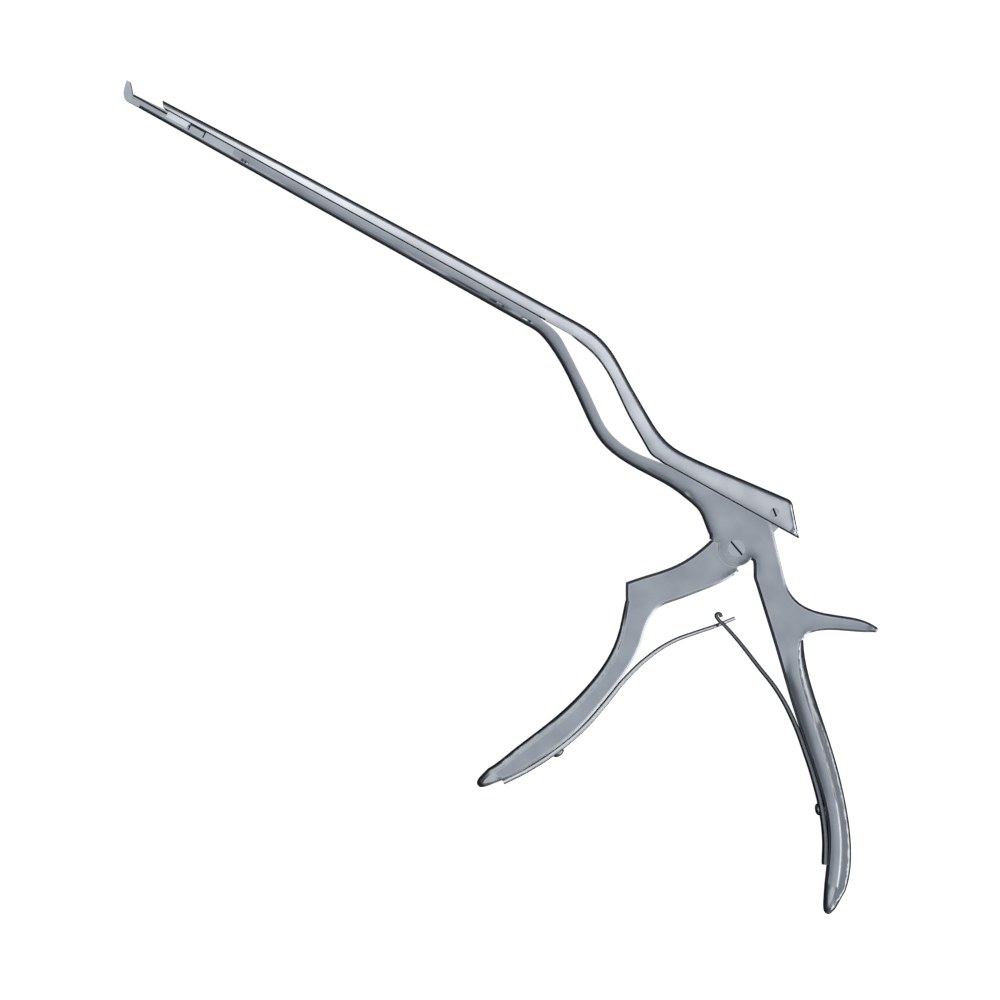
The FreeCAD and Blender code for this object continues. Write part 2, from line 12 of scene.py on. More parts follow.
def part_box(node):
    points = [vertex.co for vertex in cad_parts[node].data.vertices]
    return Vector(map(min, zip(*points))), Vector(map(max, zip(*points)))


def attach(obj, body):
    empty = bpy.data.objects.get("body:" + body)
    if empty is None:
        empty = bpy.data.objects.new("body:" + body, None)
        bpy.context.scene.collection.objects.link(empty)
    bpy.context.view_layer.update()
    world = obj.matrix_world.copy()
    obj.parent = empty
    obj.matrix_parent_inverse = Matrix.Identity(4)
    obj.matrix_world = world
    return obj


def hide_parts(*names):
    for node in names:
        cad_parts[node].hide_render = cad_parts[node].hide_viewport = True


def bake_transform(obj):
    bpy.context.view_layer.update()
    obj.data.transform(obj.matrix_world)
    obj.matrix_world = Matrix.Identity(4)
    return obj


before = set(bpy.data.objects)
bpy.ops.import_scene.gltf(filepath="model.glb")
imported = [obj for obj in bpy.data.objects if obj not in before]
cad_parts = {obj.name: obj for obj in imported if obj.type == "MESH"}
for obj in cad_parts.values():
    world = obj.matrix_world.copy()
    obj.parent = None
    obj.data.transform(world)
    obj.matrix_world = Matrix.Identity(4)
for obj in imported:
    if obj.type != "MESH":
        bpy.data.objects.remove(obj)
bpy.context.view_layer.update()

bl_info = {
    "name": "Bayonet bone rongeur",
    "version": (1, 0, 0),
    "blender": (4, 5, 0),
    "location": "View3D > Sidebar > Rongeur",
    "description": "Dresses the packed rongeur: forged bars and handles, leaf springs, screws and stage",
    "category": "Object",
}

MM = 0.001
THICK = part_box("front_handle")[1].z / MM      # the instrument's thickness, in millimetres
MID = THICK / 2
SIDE_HALF = 2.2                 # faces further than this from the middle plane are the outer sides
ABOVE_HANDLES = 5.0             # along Y: above this every side is flat, and below it the handles are rounded
FLARE = (-45.0, -20.0)          # along X, where the shaft widens to the body and its sides slope most
# How squarely a face looks sideways if it counts as flat: on the handles, on the flare and on the bars
FLAT_HANDLE, FLAT_FLARE, FLAT_BAR = 0.99999, 0.9955, 0.998
LEAST_PATCH, LEAST_LOOP = 40.0, 30.0      # square millimetres of a flat side, and millimetres of its outline

CROWN_START = -196.0            # along X: the jaw in front of this place keeps its plain sides
CROWN_JAW_FADE = 20.0           # over this length behind it the crown grows to its full depth
CROWN_LOW, CROWN_RISE = 0.8, 1.6          # over the middle plane: where the crown starts and grows to full
CROWN_HANDLE, CROWN_HANDLE_FADE = -18.0, 16.0       # along Y: where it ends on the handles, and the fade
CROWN_OUTSIDE = 1.3             # this far outside a flat side the crown goes on as steeply as at its rim
RIM_WIDE = 2.4                  # the strip along a rim in which the flatness grows from nought to one
UNDERSIDE = Vector((-0.27, -0.96, 0))     # the outline's lower side, which is rounded more,
UNDERSIDE_FROM = 0.25           # and how nearly that way a rim has to look to belong to it
LEAN_START, LEAN_FADE, LEAN_WIDE = 16.0, 14.0, 4.0  # under the body, along Y and across the flank

# The handles' ridge lines in millimetres: X, Y and how wide the round back behind the ridge is
REAR_RIDGE = [(30.8, -15.8, 1.7), (36.2, -25.0, 2.9), (48.1, -36.6, 3.1), (62.4, -50.9, 3.2),
              (70.2, -60.9, 3.4), (75.5, -70.5, 3.8), (78.2, -77.3, 3.2), (79.5, -83.3, 1.8)]
FRONT_RIDGE = [(-20.9, -30.4, 1.3), (-17.7, -40.0, 1.6), (-16.5, -50.1, 1.8), (-17.8, -60.3, 1.9),
               (-20.5, -70.4, 2.0), (-24.4, -80.0, 2.0), (-28.5, -89.6, 2.0), (-32.3, -97.3, 1.8),
               (-34.0, -101.5, 1.3)]
FACET_WIDE, FACET_EDGE = 0.8, 3.7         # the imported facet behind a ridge: its width, and its lower edge
# How the handles' backs are ground: where it starts and ends along Y, the strip beside the ridge, the
# slope and the curve of the band behind it, and how wide its round ending is
FRONT_BACK = {"first": -32.0, "last": -101.0, "strip_wide": FACET_WIDE, "strip_deep": 0.1, "slope": 0.05,
              "curve": 0.0, "ending": 0.5}
REAR_BACK = {"first": -31.0, "last": -83.0, "strip_wide": 0.5, "strip_deep": 0.35, "slope": 0.10,
             "curve": 0.06, "ending": 0.9}
BACK_FADES, RIDGE_CLEAR = (6.0, 4.0), 0.15      # where the grinding sets in and ends; it spares the ridge
BEVEL_FROM, BEVEL_LIFT = 3.35, 0.4        # the bevels start here over the middle plane; their rise
BEVEL_START, BEVEL_FADE = -24.0, 6.0      # along X, on the body: where they start to be flatter, and the fade
# Boxes round the ends that are ground round, from corner to corner in X and Y
REAR_TIP, SPUR_TIP = ((68.0, -90.0), (90.0, -80.5)), ((76.5, 5.0), (90.0, 30.0))
FRONT_TIP = ((-45.0, -105.0), (-20.0, -98.5))

# How finely the slide is polished at places along X, and how much painted light lightens it there: most in
# the middle of its bar
POLISH_AND_LIGHT = [(-222.0, 0.4), (-200.0, 0.7), (-175.0, 1.0), (-132.0, 0.6), (-60.0, 0.6), (-21.0, 0.38),
          (16.0, 0.35)]
# Where shade is painted, as ranges along X, Y and Z: the front and rear seam under the slide, the
# guide's groove, the recess in the slide's skirt, and the part of that recess that stays unshaded
SEAM_FRONT = ((-224.0, -86.0), (33.05, 33.45), (-1.0, 10.0))
SEAM_REAR = ((-34.0, 16.0), (12.05, 12.45), (-1.0, 10.0))
GROOVE = ((-231.6, -211.4), (31.8, 32.6), (MID - 1.5, MID + 1.5))
RECESS = ((-211.5, -205.9), (31.0, 33.1), (MID - 2.8, MID + 2.8))
RECESS_UNSHADED = ((-211.1, -206.4), (31.0, 32.65), (MID - 2.8, MID + 2.8))


def linear(code):
    """A six-figure sRGB hex colour as linear red, green and blue."""
    parts = [int(code[i:i + 2], 16) / 255 for i in (0, 2, 4)]
    return tuple(c / 12.92 if c <= 0.04045 else ((c + 0.055) / 1.055) ** 2.4 for c in parts)


class RongeurSteel(bpy.types.PropertyGroup):
    """Colours of the three steels."""
    forged: FloatVectorProperty(name="Forged steel", subtype="COLOR", default=linear("9EA4AB"),
                                description="Blasted stainless steel of the bars and handles")
    # Also painted light: the sliding bar and the front leaf are painted up to this lighter tone
    polished: FloatVectorProperty(name="Polished steel", subtype="COLOR", default=linear("E6E8EC"),
                                  description="The same steel on the sliding bar, which is polished finer")
    worn: FloatVectorProperty(name="Worn edge", subtype="COLOR", default=linear("E4E7EA"),
                              description="The same steel where edges are polished by handling")
    spring: FloatVectorProperty(name="Spring steel", subtype="COLOR", default=linear("7C8086"),
                                description="Hardened steel of the two leaves")
    screw: FloatVectorProperty(name="Screw steel", subtype="COLOR", default=linear("AEB3BA"),
                               description="Turned steel of the screws")


class RongeurForm(bpy.types.PropertyGroup):
    """Sizes of what hand grinding leaves on the forgings."""
    crown: FloatProperty(name="Crown", unit="LENGTH", default=0.12 * MM,
                         description="How far a side falls away towards its upper edges")
    crown_width: FloatProperty(name="Crown width", unit="LENGTH", default=2.4 * MM,
                               description="How wide the falling strip along an upper edge is")
    under_crown: FloatProperty(name="Lower crown", unit="LENGTH", default=0.52 * MM,
                               description="How far a side falls away towards its lower edges")
    under_width: FloatProperty(name="Lower crown width", unit="LENGTH", default=4.2 * MM,
                               description="How wide the falling strip along a lower edge is")
    spacing: FloatProperty(name="Spacing", unit="LENGTH", default=0.9 * MM,
                           description="Distance between the points of a crowned side")
    longest: FloatProperty(name="Longest edge", unit="LENGTH", default=1.6 * MM,
                           description="Length over which an edge round a flat side is split")
    lean: FloatProperty(name="Lean", unit="LENGTH", default=1.05 * MM,
                        description="How far the rear handle's flank falls from its ridge to its front edge")
    sharp: FloatProperty(name="Sharp from", default=24.0,
                         description="Angle in degrees over which an edge of the forging stays crisp")


class RongeurStage(bpy.types.PropertyGroup):
    """The camera and the lamps."""
    lens: FloatProperty(name="Lens", default=200.0, description="Focal length in millimetres")
    view_width: FloatProperty(name="View width", unit="LENGTH", default=310 * MM,
                              description="What the picture's side spans on the instrument")
    roll: FloatProperty(name="Roll", subtype="ANGLE", default=math.radians(29.0),
                        description="How far the camera is rolled against the shaft")
    key: FloatProperty(name="Key lamp", subtype="POWER", default=5.8,
                       description="Power of the low lamp on the right")
    top: FloatProperty(name="Top lamp", subtype="POWER", default=9.4,
                       description="Power of the large lamp overhead")


def add_node(tree, kind, settings=None, inputs=None):
    """A node with its settings and its inputs, by socket name or number. An input is a value or a socket."""
    node = tree.nodes.new(kind)
    for name, value in (settings or {}).items():
        setattr(node, name, value)
    for name, value in (inputs or {}).items():
        if isinstance(value, bpy.types.NodeSocket):
            tree.links.new(value, node.inputs[name])
        else:
            node.inputs[name].default_value = value
    return node


def new_material(name):
    """An empty node material, its tree and the place on the object."""
    material = bpy.data.materials.new(name)
    material.use_nodes = True
    tree = material.node_tree
    tree.nodes.clear()
    return material, tree, add_node(tree, "ShaderNodeTexCoord").outputs["Object"]


def maths(tree, operation, *terms, kind="ShaderNodeMath"):
    """The result of one sum, whose terms are values or sockets."""
    return add_node(tree, kind, {"operation": operation}, dict(enumerate(terms))).outputs[0]


def ramp(tree, value, low, high, first=0.0, last=1.0, kind="LINEAR"):
    """First where the value is low, last where it is high, and a blend between them."""
    return add_node(tree, "ShaderNodeMapRange", {"interpolation_type": kind},
                    {"Value": value, "From Min": low, "From Max": high, "To Min": first,
                     "To Max": last}).outputs[0]


def mix(tree, share, first, second, blend="MIX"):
    """Two colours mixed. The share and the colours are values or sockets."""
    first, second = [c if isinstance(c, bpy.types.NodeSocket) else (*c, 1) for c in (first, second)]
    return add_node(tree, "ShaderNodeMixRGB", {"blend_type": blend},
                    {"Fac": share, "Color1": first, "Color2": second}).outputs[0]


def noise(tree, place, size, detail=2.0):
    """Soft noise in lumps of about this size, from nought to one."""
    return add_node(tree, "ShaderNodeTexNoise", None,
                    {"Vector": place, "Scale": 1 / size, "Detail": detail}).outputs["Fac"]


def attribute(tree, name):
    """A number that the mesh carries."""
    return add_node(tree, "ShaderNodeAttribute", {"attribute_name": name}).outputs["Fac"]


def bumps(tree, height, strength, deep):
    """The normal over bumps of this height."""
    return add_node(tree, "ShaderNodeBump", None,
                    {"Height": height, "Strength": strength, "Distance": deep}).outputs[0]


def metal(tree, colour, roughness, **more):
    """Ends a material's tree in bare metal."""
    shader = add_node(tree, "ShaderNodeBsdfPrincipled", None,
                      {"Metallic": 1.0, "Base Color": colour, "Roughness": roughness, **more})
    add_node(tree, "ShaderNodeOutputMaterial", None, {"Surface": shader.outputs[0]})


def box_mask(tree, axes, ranges):
    """One inside a box given by its ranges along X, Y and Z in millimetres, and nought outside."""
    mask = None
    for axis, (low, high) in zip("XYZ", ranges):
        inside = maths(tree, "COMPARE", axes[axis], (low + high) / 2 * MM, (high - low) / 2 * MM)
        mask = maths(tree, "MULTIPLY", mask, inside) if mask else inside
    return mask


def blasted_steel():
    """Stainless steel blasted with fine glass beads after grinding.

    To the eye: a soft bluish grey with no mirror image, faint cloudy patches where the hand-held
    blasting was uneven, and edges a little brighter from handling. The sliding bar is polished finer,
    and so it is smoother; it is also painted lighter, most in the middle of its bar, as painted light.
    The seams under the slide, the guide's groove and its recess's corners get painted shade.
    """
    steel = bpy.context.scene.rongeur_steel
    material, tree, place = new_material("bead-blasted stainless steel")
    # Blasting clouds, about 9 mm across
    clouds = noise(tree, place, 9 * MM, 3.0)
    # Finer polish, and painted light that lightens parts of the sliding bar and the front leaf
    polish_and_light = attribute(tree, "polish_and_light")
    plain = mix(tree, polish_and_light, steel.forged, steel.polished)
    cloudy = mix(tree, 1.0, plain, ramp(tree, clouds, 0.0, 1.0, 1.0, 0.84), "MULTIPLY")
    # Handling has worn the rims of the sides a little brighter
    worn = ramp(tree, attribute(tree, "flatness"), 0.0, 0.22, 0.25, 0.0)
    colour = mix(tree, worn, cloudy, steel.worn)
    # Painted shade darkens the seam under the slide, the guide's groove and the corners of its recess
    axes = add_node(tree, "ShaderNodeSeparateXYZ", None, {0: place}).outputs
    seam = maths(tree, "ADD", box_mask(tree, axes, SEAM_FRONT), box_mask(tree, axes, SEAM_REAR))
    own = maths(tree, "MULTIPLY", seam, maths(tree, "GREATER_THAN", polish_and_light, 0.1))
    corner = maths(tree, "SUBTRACT", box_mask(tree, axes, RECESS), box_mask(tree, axes, RECESS_UNSHADED))
    inner = maths(tree, "MAXIMUM", box_mask(tree, axes, GROOVE), corner)
    dark = maths(tree, "MAXIMUM", own, inner)
    with_painted_shade = mix(tree, dark, colour, linear("2E3136"))
    rough = ramp(tree, clouds, 0.3, 0.7, 0.3, 0.38)
    smoother = maths(tree, "MULTIPLY_ADD", polish_and_light, -0.14, rough)
    # Bead marks are about 0.05 mm: drawn 0.35 mm across, so that they show
    pitted = bumps(tree, noise(tree, place, 0.35 * MM), 0.12, 0.02 * MM)
    metal(tree, with_painted_shade, smoother, Normal=pitted)
    return material


def rolled_spring_steel():
    """Hardened strip steel, ground along its length.

    To the eye: darker and a little glossier than the forgings, with fine lines along the leaf. The
    front leaf is painted in a lighter tone, as painted light, and the rear one darker, as painted shade.
    """
    steel = bpy.context.scene.rongeur_steel
    material, tree, place = new_material("ground spring steel")
    # Grinding lines about 0.25 mm apart across the leaf's width, which is along Z
    along = add_node(tree, "ShaderNodeMapping", None,
                     {"Vector": place, "Scale": (60.0, 60.0, 1 / (0.25 * MM))})
    lines = noise(tree, along.outputs[0], 1.0)
    base = mix(tree, attribute(tree, "polish_and_light"), steel.spring, steel.polished)
    tone = mix(tree, lines, base, (0.72, 0.72, 0.72), "MULTIPLY")
    metal(tree, tone, 0.34, Normal=bumps(tree, lines, 0.2, 0.02 * MM))
    return material


def turned_screw_steel():
    """Stainless steel turned on a lathe.

    To the eye: brighter than the blasted steel, with faint turning marks and painted shade in the driver
    slot.
    """
    steel = bpy.context.scene.rongeur_steel
    material, tree, place = new_material("turned stainless steel")
    tone = mix(tree, noise(tree, place, 0.4 * MM), steel.screw, [c * 0.85 for c in steel.screw])
    # Painted shade darkens the faces of the driver slot
    slot_shaded = mix(tree, attribute(tree, "slot_shade"), tone, linear("1E2024"))
    metal(tree, slot_shaded, 0.34)
    return material


finishes = {}                   # the materials made so far, by slot


def material_for(slot):
    """The material of one of the record's slots, made at its first use."""
    makers = {"instrument_steel": blasted_steel, "spring_steel": rolled_spring_steel,
              "screw_steel": turned_screw_steel}
    if slot not in finishes:
        finishes[slot] = makers[slot]()
    return finishes[slot]


def new_object(name, data):
    """An object in the scene."""
    made = bpy.data.objects.new(name, data)
    bpy.context.scene.collection.objects.link(made)
    return made


def finish_piece(mesh, name, slot, nodes, body):
    """The mesh as a named piece with its finish, standing for these CAD nodes and riding on the body."""
    piece = new_object(name, mesh)
    mesh.materials.clear()
    mesh.materials.append(material_for(slot))
    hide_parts(*nodes)
    if body:
        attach(piece, body)
    return piece


def share_along(value, start, run):
    """Nought up to the start, one a run after it, and a straight rise between."""
    return min(1.0, max(0.0, (value - start) / run))


def boundary_loops(edges):
    """The edges grouped into loops that share points."""
    by_point = {}
    for edge in edges:
        for v in edge.verts:
            by_point.setdefault(v, []).append(edge)
    seen, loops = set(), []
    for edge in edges:
        if edge in seen:
            continue
        loop, todo = [], [edge]
        while todo:
            e = todo.pop()
            if e in seen:
                continue
            seen.add(e)
            loop.append(e)
            todo += [n for v in e.verts for n in by_point[v] if n not in seen]
        loops.append(loop)
    return loops


def triangulate(bm):
    """Cuts the faces with more than three corners into triangles."""
    bmesh.ops.triangulate(bm, faces=[f for f in bm.faces if len(f.verts) > 3])


def even_out(bm, longest, where):
    """Splits the edges that are longer than this and whose ends both lie where asked."""
    for _ in range(4):
        split = [e for e in bm.edges if e.calc_length() > longest and all(where(v) for v in e.verts)]
        if not split:
            break
        bmesh.ops.subdivide_edges(bm, edges=split, cuts=1)
        triangulate(bm)


class Ridge:
    """A handle's ridge line: how far a place is in front of it or, below nought, behind it."""

    def __init__(self, points, back):
        self.runs = [(Vector(a), Vector(b) - Vector(a)) for a, b in zip(points, points[1:])]
        self.back = back

    def find(self, co):
        """The distance in front of the ridge, and the back's width there."""
        place, best = Vector((co.x, co.y)) / MM, None
        for start, run in self.runs:
            line = run.xy
            away = place - start.xy
            share = max(0.0, min(1.0, away.dot(line) / line.length_squared))
            foot = start + run * share
            gap = (place - foot.xy).length
            if best is None or gap < abs(best[0]):
                best = (gap if line.cross(away) * self.back < 0 else -gap, foot.z)
        return best


def side_patches(bm, side):
    """The flat outer faces that look up (side 1) or down (side -1), in connected patches."""
    outer = set()
    for face in bm.faces:
        middle = face.calc_center_median() / MM
        flat = FLAT_FLARE if FLARE[0] < middle.x < FLARE[1] else FLAT_BAR
        if middle.y < ABOVE_HANDLES:
            flat = FLAT_HANDLE
        if face.normal.z * side > flat and (middle.z - MID) * side > SIDE_HALF and middle.x > CROWN_START:
            outer.add(face)
    patches = []
    while outer:
        patch, todo = set(), [next(iter(outer))]
        while todo:
            face = todo.pop()
            if face not in outer:
                continue
            outer.discard(face)
            patch.add(face)
            todo += [n for e in face.edges for n in e.link_faces if n in outer]
        if sum(f.calc_area() for f in patch) > LEAST_PATCH * MM * MM:
            patches.append(patch)
    return patches


def patch_border(patch):
    """The edges that only one face of the patch touches."""
    return [e for f in patch for e in f.edges if sum(n in patch for n in e.link_faces) == 1]


def split_borders(bm, longest):
    """Splits the long edges round the flat sides, or the net inside them would fan out in streaks."""
    for _ in range(7):
        split = {e for side in (1, -1) for patch in side_patches(bm, side) for e in patch_border(patch)
                 if e.calc_length() > longest}
        if not split:
            break
        bmesh.ops.subdivide_edges(bm, edges=list(split), cuts=1)
        triangulate(bm)
        bm.normal_update()


class Fall:
    """How far a side falls away at a place, from its distance to the outline's lower and upper parts."""

    def __init__(self, patches, form):
        self.form = form
        under, over = [], []
        for patch in patches:
            for loop in boundary_loops(patch_border(patch)):
                if sum(e.calc_length() for e in loop) > LEAST_LOOP * MM:
                    for e in loop:
                        (under if self.is_under(e, patch) else over).extend(self.samples(e))
        self.kinds = [(self.tree(under), form.under_crown, form.under_width),
                      (self.tree(over), form.crown, form.crown_width)]
        self.rim = self.tree(under + over)

    @staticmethod
    def is_under(edge, patch):
        """True where the outline looks to the instrument's lower side."""
        ends = [v.co for v in edge.verts]
        inner = next(f for f in edge.link_faces if f in patch).calc_center_median()
        run = ends[1] - ends[0]
        out = Vector((run.y, -run.x, 0)).normalized()
        if out.dot(inner - ends[0]) > 0:
            out.negate()
        return out.dot(UNDERSIDE) > UNDERSIDE_FROM

    @staticmethod
    def samples(edge):
        """Points along an edge, half a millimetre apart at most."""
        ends = [v.co for v in edge.verts]
        count = int(edge.calc_length() / (0.5 * MM)) + 1
        return [ends[0].lerp(ends[1], i / count) for i in range(count + 1)]

    @staticmethod
    def tree(points):
        """A search tree of the points, as seen from the side."""
        tree = kdtree.KDTree(len(points))
        for i, p in enumerate(points):
            tree.insert((p.x, p.y, 0), i)
        tree.balance()
        return tree

    def distance(self, x, y):
        """How far a place is from the rim of the flat sides."""
        return self.rim.find((x, y, 0))[2]

    def at(self, x, y, outside):
        """The drop at a place; just outside the rim it goes on as steeply as at the rim."""
        drop = 0.0
        for tree, deep, wide in self.kinds:
            away = tree.find((x, y, 0))[2]
            if away is None:
                continue
            if outside and away < CROWN_OUTSIDE * MM:
                drop += deep * (1 + 2 * away / wide)
            else:
                drop += deep * max(0.0, 1 - away / wide) ** 2
        return drop


def within_border(spots, triangles, border):
    """The triangles whose middles lie inside the border, and not in one of its holes."""
    middles = numpy.array(spots)[numpy.array(triangles)].mean(axis=1)
    inside = numpy.zeros(len(middles), bool)
    for a, b in border:
        across = (a.y > middles[:, 1]) != (b.y > middles[:, 1])
        if across.any():
            crossing = a.x + (middles[:, 1] - a.y) * (b.x - a.x) / ((b.y - a.y) or 1.0)
            inside ^= across & (middles[:, 0] < crossing)
    return [t for t, keep in zip(triangles, inside) if keep]


def remake_patch(bm, patch, side, spacing):
    """Puts a fine net of points on one flat side and gives the new points back."""
    points, polygons = [], []
    for f in patch:
        polygons.append(tuple(range(len(points), len(points) + len(f.verts))))
        points += [v.co.copy() for v in f.verts]
    surface = BVHTree.FromPolygons(points, polygons)

    def height(x, y):
        """The point of the side above this place; a ray that slips between two faces is moved a little."""
        for dx, dy in ((0, 0), (1.3e-6, 0.7e-6), (-0.9e-6, 1.1e-6)):
            hit = surface.ray_cast(Vector((x + dx, y + dy, side * 0.1)), Vector((0, 0, -side)))[0]
            if hit:
                return hit
        return None

    border = patch_border(patch)
    near_edge = Fall.tree([p for e in border for p in Fall.samples(e)])
    edge_verts = list({v for e in border for v in e.verts})
    place = {v: i for i, v in enumerate(edge_verts)}
    flat = [Vector((v.co.x, v.co.y)) / MM for v in edge_verts]
    xs, ys = [p.x for p in flat], [p.y for p in flat]
    step = spacing / MM
    lift = step * 0.87          # rows of even triangles lie this far apart
    rows = int((max(ys) - min(ys)) / lift) + 1
    columns = int((max(xs) - min(xs)) / step) + 1
    net = []
    for r in range(rows):
        for c in range(columns):
            x = min(xs) + (c + 0.5 * (r % 2)) * step
            y = min(ys) + r * lift
            if near_edge.find((x * MM, y * MM, 0))[2] > 0.45 * spacing and height(x * MM, y * MM):
                net.append(Vector((x, y)))
    links = [(place[e.verts[0]], place[e.verts[1]]) for e in border]
    spots, _, triangles, origin, _, _ = delaunay_2d_cdt(flat + net, links, [], 0, 1e-5)
    kept = within_border(spots, triangles, [[flat[i] for i in link] for link in links])
    bmesh.ops.delete(bm, geom=list(patch), context="FACES_KEEP_BOUNDARY")
    made = {}
    for i in {i for triangle in kept for i in triangle}:
        from_edge = [o for o in origin[i] if o < len(edge_verts)]
        if from_edge:
            made[i] = edge_verts[from_edge[0]]
        else:
            x, y = spots[i].x * MM, spots[i].y * MM
            made[i] = bm.verts.new(height(x, y) or Vector((x, y, MID * MM)))
    for triangle in kept:
        corners = [made[i] for i in triangle]
        if side < 0:
            corners.reverse()
        if len(set(corners)) == 3 and not bm.faces.get(corners):
            bm.faces.new(corners)
    return {v for v in made.values() if v not in place}


def soften_tips(bm, boxes):
    """Splits and smooths the faces in these boxes, so that a ground tip is round and not in facets."""
    for low, high in boxes:
        def inside(v):
            return all(low[i] * MM < v.co[i] < high[i] * MM for i in (0, 1))
        even_out(bm, 0.6 * MM, inside)
        core = [v for v in bm.verts if inside(v)]
        for _ in range(6):
            bmesh.ops.smooth_vert(bm, verts=core, factor=0.5, use_axis_x=True, use_axis_y=True,
                                  use_axis_z=True)
        for edge in bm.edges:
            if any(inside(v) for v in edge.verts):
                edge.smooth = True


def lean(node, co, form):
    """How far the rear handle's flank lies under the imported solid, in front of the ridge."""
    if node != "frame" or co.y > -LEAN_START * MM:
        return 0.0
    ahead = max(0.0, REAR.find(co)[0])
    return form.lean * share_along(-co.y / MM, LEAN_START, LEAN_FADE) * min(1.0, ahead / LEAN_WIDE) ** 2


def regrind_back(bm, ridge, first, last, strip_wide, strip_deep, slope, curve, ending):
    """Shapes a handle's back: a strip that falls from the ridge, a nearly flat band and a round ending.

    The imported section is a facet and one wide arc; where a point lies on it follows from its height.
    Gives the changed points back.
    """
    changed = set()
    rims = [e for e in bm.edges if all(abs(v.co.z / MM - MID) > MID - 0.01 for v in e.verts)
            and any(abs(f.normal.z) < 0.9999 for f in e.link_faces)]
    rim = Fall.tree([p for e in rims for p in Fall.samples(e)])
    for v in bm.verts:
        y = v.co.y / MM
        fade = min(1.0, (first - y) / BACK_FADES[0], (y - last) / BACK_FADES[1])
        away = abs(v.co.z / MM - MID)
        if fade <= 0 or not 0.01 < away < MID - 0.1:
            continue
        ahead, wide = ridge.find(v.co)
        if ahead > -RIDGE_CLEAR:
            continue
        centre = (wide ** 2 - FACET_WIDE ** 2 - FACET_EDGE ** 2) / (2 * (wide - FACET_WIDE))
        behind = centre + math.sqrt(max(0.0, (wide - centre) ** 2 - away ** 2))
        if away > FACET_EDGE - 0.1:
            behind = strip_wide
            near = rim.find((v.co.x, v.co.y, 0))[0]
            share = fade * (1 - strip_wide / FACET_WIDE)
            v.co.x += (near.x - v.co.x) * share
            v.co.y += (near.y - v.co.y) * share
        run = max(0.0, behind - strip_wide)
        height = MID - strip_deep - slope * run - curve * run ** 2
        height *= math.sqrt(1 - min(1.0, max(0.0, (behind - wide + ending) / ending)) ** 2)
        # copysign drops the sign of the change, so the few points over the new height rise as well
        v.co.z += math.copysign(fade * (height - away) * MM, v.co.z - MID * MM)
        changed.add(v)
    return changed


def soft_bevels(bm, backs):
    """Lays the ground bevels of the body and the handles flatter, so that they catch a low light."""
    for v in bm.verts:
        away = abs(v.co.z / MM - MID)
        fade = share_along(v.co.x / MM, BEVEL_START, BEVEL_FADE) if v.co.y > 0 else 1.0
        if away > BEVEL_FROM and v not in backs:
            v.co.z += math.copysign(fade * BEVEL_LIFT * (MID - away) * MM, v.co.z - MID * MM)


REAR, FRONT = Ridge(REAR_RIDGE, 1), Ridge(FRONT_RIDGE, -1)


def forged_piece(node, name, body, tips=()):
    """A forging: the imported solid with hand-ground, slightly crowned sides."""
    form = bpy.context.scene.rongeur_form
    bm = bmesh.new()
    bm.from_mesh(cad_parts[node].data)
    bmesh.ops.remove_doubles(bm, verts=bm.verts, dist=0.0005 * MM)
    bm.normal_update()
    for edge in bm.edges:
        edge.smooth = edge.is_manifold and edge.calc_face_angle(0) < math.radians(form.sharp)
    bmesh.ops.bisect_plane(bm, geom=bm.verts[:] + bm.edges[:] + bm.faces[:],
                           plane_co=(CROWN_START * MM, 0, 0), plane_no=(1, 0, 0))
    triangulate(bm)
    bm.normal_update()
    split_borders(bm, form.longest)
    # The rear handle's ridge is a narrow bright line; the front one's is barely broken
    if node == "front_handle":
        soft_bevels(bm, regrind_back(bm, FRONT, **FRONT_BACK))
    if node == "frame":
        soft_bevels(bm, regrind_back(bm, REAR, **REAR_BACK))
    flatness = bm.verts.layers.float.new("flatness")
    for side in (1, -1):
        patches = side_patches(bm, side)
        fall = Fall(patches, form)
        inner = set()
        for patch in patches:
            inner |= remake_patch(bm, patch, side, form.spacing)
        for v in bm.verts:
            outward = (v.co.z / MM - MID) * side
            if outward > 0:
                # The crown belongs to the bars and the body, and fades out on the handles and the jaw
                bar = min(share_along(v.co.y / MM, CROWN_HANDLE, CROWN_HANDLE_FADE),
                          share_along(v.co.x / MM, CROWN_START, CROWN_JAW_FADE))
                drop = bar * fall.at(v.co.x, v.co.y, v not in inner) + lean(node, v.co, form)
                v.co.z -= side * share_along(outward, CROWN_LOW, CROWN_RISE) * drop
                rim = fall.distance(v.co.x, v.co.y) / (RIM_WIDE * MM)
                v[flatness] = min(1.0, rim) if v in inner else 0.0
    soften_tips(bm, tips)
    # Finer polish and painted light on the sliding bar: lighter most in the middle of the bar
    polish_and_light = bm.verts.layers.float.new("polish_and_light")
    for v in bm.verts:
        v[polish_and_light] = numpy.interp(v.co.x / MM, *zip(*POLISH_AND_LIGHT)) if node == "slide" else 0.0
    bm.normal_update()
    for face in bm.faces:
        face.smooth = True
    mesh = bpy.data.meshes.new(name)
    bm.to_mesh(mesh)
    bm.free()
    finish_piece(mesh, name, "instrument_steel", [node], body)


class RONGEUR_OT_forgings(bpy.types.Operator):
    """Make the frame, the sliding bar and the finger handle"""
    bl_idname = "rongeur.forgings"
    bl_label = "Bars and handles"

    def execute(self, context):
        forged_piece("frame", "frame_forging", "base", [REAR_TIP, SPUR_TIP])
        forged_piece("slide", "sliding_bar", "slider")
        forged_piece("front_handle", "finger_handle", "handle", [FRONT_TIP])
        return {"FINISHED"}


